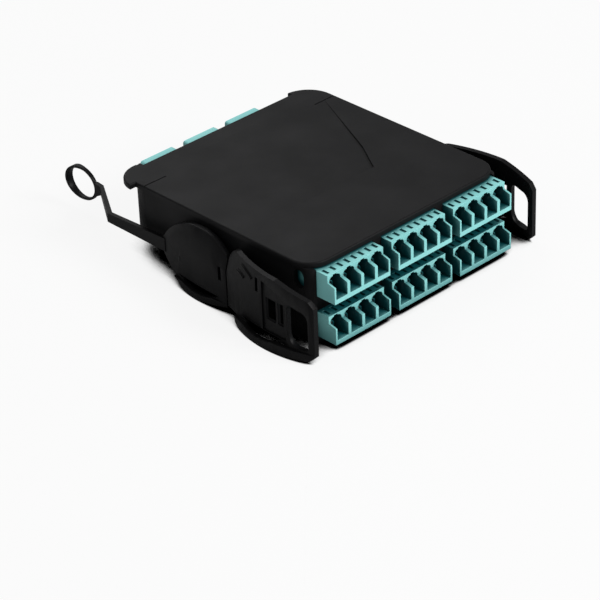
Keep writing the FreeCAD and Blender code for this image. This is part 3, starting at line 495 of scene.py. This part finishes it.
fan_width, fan_length, fan_height = 20 * MM, 5.0 * MM, 3 * MM
group_offset = 1.5 * MM
for column in columns:
    low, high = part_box(f"fibre_harness_{column}")
    plug_low, plug_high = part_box(f"inner_mpo_plug_{column}")
    plug_middle = (plug_low + plug_high) / 2
    pieces = []
    for row, way in (("lower", -1), ("upper", 1)):
        plugs_low, plugs_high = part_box(f"inner_lc_plugs_{row}_{column}")
        x = (plugs_low.x + plugs_high.x) / 2
        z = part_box(f"lc_adapter_{row}_{column}")[0].z + axis_height
        start = Vector((x, low.y + fan_length, z))
        end = Vector((plug_middle.x + way * group_offset, high.y, plug_middle.z))
        pieces.append(grow("fibres", fibres, {
            "Start": start, "End": end, "Bend": (end.y - start.y) / 2,
            "Spacing": 0.55 * MM, "Diameter": 0.5 * MM, "Fibres": 4}))
        block = bmesh.new()
        bmesh.ops.create_cube(block, size=1.0, matrix=Matrix.Translation(
            (x, low.y + fan_length / 2, z))
            @ Matrix.Diagonal((fan_width, fan_length, fan_height, 1)))
        bmesh.ops.bevel(block, geom=block.edges[:], offset=0.5 * MM, segments=3,
                        affect="EDGES", profile=0.5)
        pieces.append(bpy.data.meshes.new("fan_out"))
        block.to_mesh(pieces[-1])
        block.free()
    groups = place(f"fibre_groups_{column}", joined(f"fibre_groups_{column}", pieces),
                   jacket, "box")
    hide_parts(f"fibre_harness_{column}")

# ---- MPO adapters ----------------------------------------------------------
# Three multi-fibre adapters in the rear wall, of the same aqua PBT. Deep in each mouth
# stands the inner plug's flat ferrule, with twelve fibre ends between two guide pins.

wall_face = tray_high.y
mouth_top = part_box("mpo_adapter_centre")[1].z - 1.75 * MM
key_half, raised = 2.0 * MM, 1.7 * MM


def taller_outside(shape):
    """Outside the wall the adapter's top stands higher than in the wall's opening."""
    for y in (wall_face + 0.02 * MM, wall_face + 0.1 * MM):
        everything = shape.verts[:] + shape.edges[:] + shape.faces[:]
        bmesh.ops.bisect_plane(shape, geom=everything, dist=0.001 * MM,
                               plane_co=(0, y, 0), plane_no=(0, 1, 0))
    middle = (min(v.co.x for v in shape.verts) + max(v.co.x for v in shape.verts)) / 2
    for vert in shape.verts:
        outer = abs(vert.co.x - middle) > key_half and vert.co.z > mouth_top
        if outer and vert.co.y > wall_face + 0.06 * MM:
            vert.co.z += raised


for column in columns:
    with_mould_edges(f"mpo_adapter_{column}", 0.25, aqua, "box",
                     reshape=taller_outside)

ends, given, result = tree_with("fibre ends and guide pins", {
    "Fibres": "Int", "Fibre Pitch": "Float", "Core": "Float", "Pin Span": "Float",
    "Pin Radius": "Float", "Pin Length": "Float", "Place": "Vector"})
row_of = centred_row(ends, given.outputs["Fibres"], given.outputs["Fibre Pitch"])
core = add(ends, "GeometryNodeMeshCylinder", {"Vertices": 10,
                                              "Radius": given.outputs["Core"],
                                              "Depth": 0.1 * MM})
cores = add(ends, "GeometryNodeInstanceOnPoints", {"Points": row_of,
                                                   "Instance": core.outputs["Mesh"],
                                                   "Rotation": (math.pi / 2, 0, 0)})
white_ends = add(ends, "GeometryNodeSetMaterial", {"Geometry": cores.outputs[0],
                                                   "Material": zirconia})
pin_row = centred_row(ends, 2, given.outputs["Pin Span"])
pin_body = add(ends, "GeometryNodeMeshCylinder", {"Vertices": 16,
                                                  "Radius": given.outputs["Pin Radius"],
                                                  "Depth": given.outputs["Pin Length"]})
pins = add(ends, "GeometryNodeInstanceOnPoints", {"Points": pin_row,
                                                  "Instance": pin_body.outputs["Mesh"],
                                                  "Rotation": (math.pi / 2, 0, 0)})
steel_pins = add(ends, "GeometryNodeSetMaterial", {"Geometry": pins.outputs[0],
                                                   "Material": zinc})
both_kinds = add(ends, "GeometryNodeJoinGeometry", {})
ends.links.new(steel_pins.outputs[0], both_kinds.inputs[0])
ends.links.new(white_ends.outputs[0], both_kinds.inputs[0])
put = add(ends, "GeometryNodeTransform", {"Geometry": both_kinds.outputs[0],
                                          "Translation": given.outputs["Place"]})
real = add(ends, "GeometryNodeRealizeInstances", {"Geometry": put.outputs[0]})
ends.links.new(real.outputs[0], result.inputs[0])

for column in columns:
    plug_low, plug_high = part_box(f"inner_mpo_plug_{column}")
    plug_middle = (plug_low + plug_high) / 2
    at = Vector((plug_middle.x, plug_high.y, plug_middle.z))
    mesh = grow("fibre_ends", ends, {
        "Fibres": 12, "Fibre Pitch": 0.25 * MM, "Core": 0.07 * MM, "Pin Span": 4.6 * MM,
        "Pin Radius": 0.35 * MM, "Pin Length": 4.0 * MM, "Place": at})
    place(f"fibre_ends_{column}", mesh, None, "box")

# ---- Side levers and rear latches ------------------------------------------
# Levers and latches are moulded in black acetal, which springs well and slides on
# ABS without grease. It comes from a smoother mould than the box, so it has a soft sheen.

acetal = moulded("Black acetal, satin moulded", "#0b0b0c", "#0e0e0f", 0.4, 0.7, 0.015,
                 0.08)
for side in ("left", "right"):
    with_mould_edges(f"{side}_front_lever", 0.3, acetal, f"{side}_lever")
    with_mould_edges(f"{side}_rear_latch", 0.3, acetal, f"{side}_latch")
    finish_with(f"{side}_pivot_pin", zinc)

ribs, given, result = tree_with("raised rib", {"Path": "Geometry", "Width": "Float"})
line = add(ribs, "GeometryNodeMeshToCurve", {0: given.outputs["Path"]})
soft = add(ribs, "GeometryNodeResampleCurve", {"Curve": line.outputs[0], "Count": 20})
radius = add(ribs, "ShaderNodeMath", {0: given.outputs["Width"], 1: 0.5},
             operation="MULTIPLY")
bead = add(ribs, "GeometryNodeCurvePrimitiveCircle", {"Resolution": 12,
                                                      "Radius": radius.outputs[0]})
rod = add(ribs, "GeometryNodeCurveToMesh", {"Curve": soft.outputs[0],
                                            "Profile Curve": bead.outputs[0],
                                            "Fill Caps": True})
even = add(ribs, "GeometryNodeSetShadeSmooth", {"Geometry": rod.outputs[0]})
dressed = add(ribs, "GeometryNodeSetMaterial", {"Geometry": even.outputs[0],
                                                "Material": acetal})
ribs.links.new(dressed.outputs[0], result.inputs[0])


def on_outer_face(node, way, route):
    """Points dropped on a lever's outer face: mm before the seam, mm below its top."""
    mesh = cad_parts[node].data
    skin = BVHTree.FromPolygons([v.co for v in mesh.vertices],
                                [p.vertices for p in mesh.polygons])
    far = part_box(node)[1]
    made = []
    for before, below in route:
        start = Vector((way * clear_of_lever, far.y - before * MM, far.z - below * MM))
        hit = skin.ray_cast(start, Vector((-way, 0, 0)))[0]
        if hit:
            made.append(hit)
    return made


clear_of_lever = 80 * MM
rib_routes = [[(6.9, 5.3), (8.2, 5.4), (9.6, 5.7), (10.9, 6.1)],
              [(9.5, 2.2), (11.5, 2.6), (13.6, 3.4), (15.5, 4.3)]]
for side, way in (("left", -1), ("right", 1)):
    beads = []
    for route in rib_routes:
        points = on_outer_face(f"{side}_front_lever", way, route)
        path = bpy.data.meshes.new("rib_path")
        path.from_pydata(points, [(i, i + 1) for i in range(len(points) - 1)], [])
        beads.append(grow("rib", ribs, {"Width": 1.0 * MM}, path))
    place(f"{side}_lever_ribs", joined(f"{side}_lever_ribs", beads), acetal,
          f"{side}_lever")

# ---- Studio ----------------------------------------------------------------
# A pale paper floor under soft lamps. The floor and the world show white to the camera
# and through clear pieces, so the background is clean while the lamps stay at a plain
# level. Gloss sees the floor and the world as the lamps light them, not that white.


def in_sight(tree):
    """1 for camera and transmission rays, and 0 for every other ray."""
    ray = add(tree, "ShaderNodeLightPath")
    seen = add(tree, "ShaderNodeMath", {0: ray.outputs["Is Camera Ray"],
                                        1: ray.outputs["Is Transmission Ray"]},
               operation="MAXIMUM")
    return seen.outputs[0]


floor_mesh = bpy.data.meshes.new("studio_floor")
reach = 4
floor_mesh.from_pydata([(-reach, -reach, 0), (reach, -reach, 0), (reach, reach, 0),
                        (-reach, reach, 0)], [], [(0, 1, 2, 3)])
floor = bpy.data.objects.new("studio_floor", floor_mesh)
scene.collection.objects.link(floor)
paper = bpy.data.materials.new("White paper floor")
paper.use_nodes = True
tree = paper.node_tree
tree.nodes.clear()
# Painted shadow: where little sky reaches the floor, in narrow gaps and at the object's foot,
# its white and its colour are darkened.
open_sky = add(tree, "ShaderNodeAmbientOcclusion", {"Distance": 30 * MM}, samples=32)
lit_part = add(tree, "ShaderNodeMapRange", {"Value": open_sky.outputs["AO"],
                                            "From Min": 0.36, "From Max": 0.52,
                                            "To Max": 0.88})
shaded = add(tree, "ShaderNodeVectorMath", {0: linear("#dedede")[:3],
                                            "Scale": lit_part.outputs[0]},
             operation="SCALE")
matt = add(tree, "ShaderNodeBsdfDiffuse", {"Color": shaded.outputs[0]})
white = add(tree, "ShaderNodeEmission", {"Color": (1, 1, 1, 1), "Strength": 1.0})
part = add(tree, "ShaderNodeMath", {0: in_sight(tree), 1: lit_part.outputs[0]},
           operation="MULTIPLY")
shown = add(tree, "ShaderNodeMixShader", {0: part.outputs[0], 1: matt.outputs[0],
                                          2: white.outputs[0]})
add(tree, "ShaderNodeOutputMaterial", {"Surface": shown.outputs[0]})
floor_mesh.materials.append(paper)

studio = bpy.data.worlds.new("Studio")
scene.world = studio
studio.use_nodes = True
tree = studio.node_tree
tree.nodes.clear()
soft_fill = add(tree, "ShaderNodeBackground", {"Color": (1, 1, 1, 1), "Strength": 0.25})
white_wall = add(tree, "ShaderNodeBackground", {"Color": (1, 1, 1, 1), "Strength": 1.0})
either = add(tree, "ShaderNodeMixShader", {0: in_sight(tree), 1: soft_fill.outputs[0],
                                           2: white_wall.outputs[0]})
add(tree, "ShaderNodeOutputWorld", {"Surface": either.outputs[0]})

for name, where, size, power in (("key_lamp", (0.35, -0.95, 0.75), 0.5, 15.0),
                                 ("fill_lamp", (-0.9, 0.1, 0.7), 0.9, 2.2),
                                 ("rear_lamp", (0.3, 0.8, 0.9), 0.8, 6.0)):
    lamp = bpy.data.lights.new(name, "AREA")
    lamp.size = size
    lamp.energy = power
    holder = bpy.data.objects.new(name, lamp)
    scene.collection.objects.link(holder)
    holder.location = where
    holder.rotation_euler = (-Vector(where)).to_track_quat("-Z", "Y").to_euler()

# The camera looks from the front left and above through a long lens.
across = Vector((0.71664945, -0.6966161, -0.03375744))
above = Vector((0.38543699, 0.35525329, 0.85160638))
back = across.cross(above)
lens = bpy.data.cameras.new("camera")
lens.lens = 156.96
lens.sensor_width = 36
lens.clip_start = 0.01
camera = bpy.data.objects.new("camera", lens)
scene.collection.objects.link(camera)
stands_at = (-0.52946, -0.56111, 0.45171)
turned = Matrix((across, above, back)).transposed().to_4x4()
camera.matrix_world = Matrix.Translation(stands_at) @ turned
scene.camera = camera
scene.view_settings.view_transform = "Standard"
